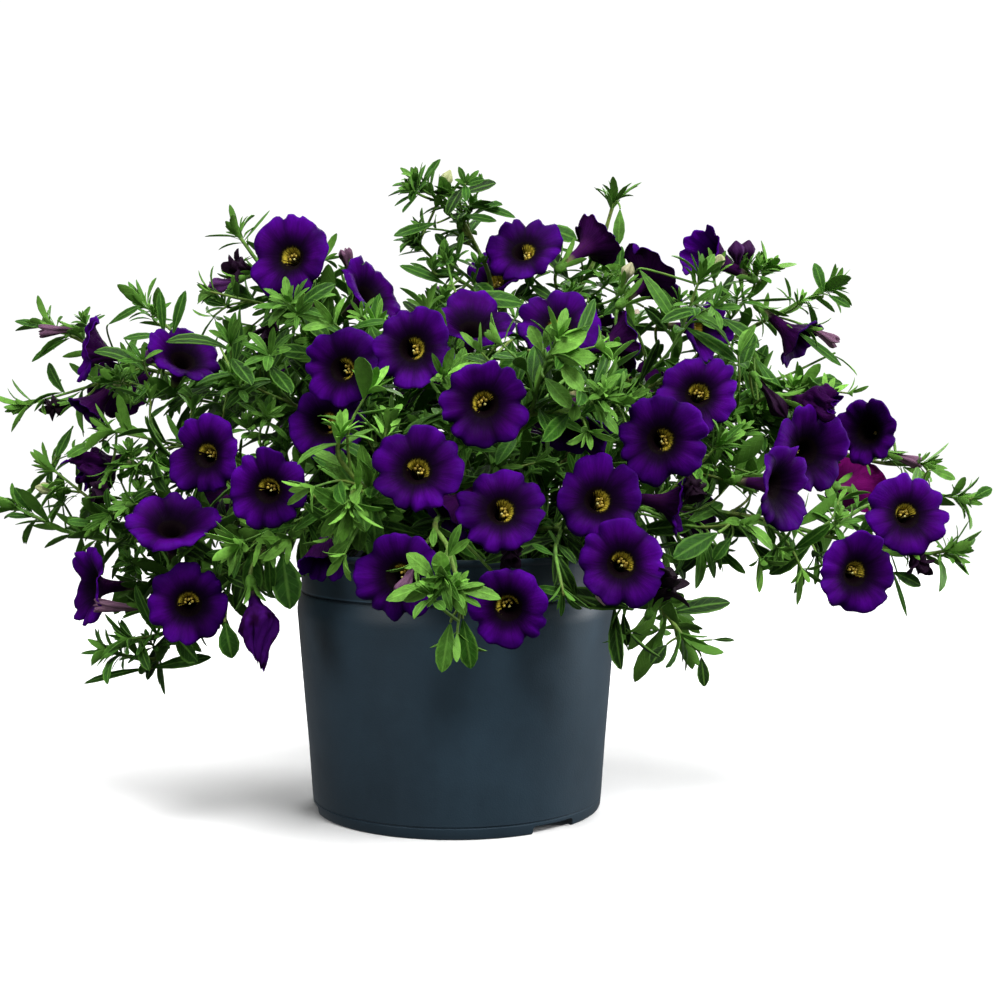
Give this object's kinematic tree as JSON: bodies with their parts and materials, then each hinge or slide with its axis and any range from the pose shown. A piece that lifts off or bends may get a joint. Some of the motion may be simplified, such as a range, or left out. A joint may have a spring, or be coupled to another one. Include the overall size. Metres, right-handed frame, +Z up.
{
  "type": "potted calibrachoa",
  "caption": "Mounding calibrachoa with purple trumpet flowers and narrow leaves on trailing shoots, growing in a round nursery pot.",
  "frame": {"origin": "middle of the pot's foot, on the ground", "axes": "+Z up, -Y towards the side the plant shows best from, +X along the plant's longest spread"},
  "size_m": [0.4079, 0.2704, 0.2634],
  "materials": {
    "pot": "satin",
    "soil": "matte, crumbly",
    "leaf": "matte, finely hairy",
    "petal": "velvety matte"
  },
  "bodies": {
    "root": {"flower_back_left_1": "petal", "flower_back_left_2": "petal", "flower_back_middle_1": "petal", "flower_back_middle_2": "petal", "flower_back_right_1": "petal", "flower_front_1": "petal", "flower_front_2": "petal", "flower_front_3": "petal", "flower_front_4": "petal", "flower_front_left_1": "petal", "flower_front_left_2": "petal", "flower_front_left_3": "petal", "flower_front_right_1": "petal", "flower_front_right_2": "petal", "flower_front_right_3": "petal", "flower_front_upper_1": "petal", "flower_front_upper_2": "petal", "flower_left_high_1": "petal", "flower_left_high_2": "petal", "flower_left_low_1": "petal", "flower_left_low_2": "petal", "flower_left_low_3": "petal", "flower_left_middle_1": "petal", "flower_left_middle_2": "petal", "flower_right_high_1": "petal", "flower_right_high_2": "petal", "flower_right_low_1": "petal", "flower_right_low_2": "petal", "flower_right_low_3": "petal", "flower_right_low_4": "petal", "flower_right_middle_1": "petal", "flower_right_middle_2": "petal", "flower_right_middle_3": "petal", "flower_right_middle_4": "petal", "flower_top_1": "petal", "flower_top_left_1": "petal", "flower_top_left_2": "petal", "flower_top_right_1": "petal", "flower_top_right_2": "petal", "flower_top_right_3": "petal", "flower_top_right_4": "petal", "flower_top_right_5": "petal", "pot": "pot", "shoot_back_left": "leaf", "shoot_back_middle": "leaf", "shoot_back_right": "leaf", "shoot_front": "leaf", "shoot_front_left": "leaf", "shoot_front_right": "leaf", "shoot_front_upper": "leaf", "shoot_left_high": "leaf", "shoot_left_low": "leaf", "shoot_left_middle": "leaf", "shoot_right_high": "leaf", "shoot_right_low": "leaf", "shoot_right_middle": "leaf", "shoot_top": "leaf", "shoot_top_left": "leaf", "shoot_top_right": "leaf", "soil": "soil"}
  },
  "joints": []
}
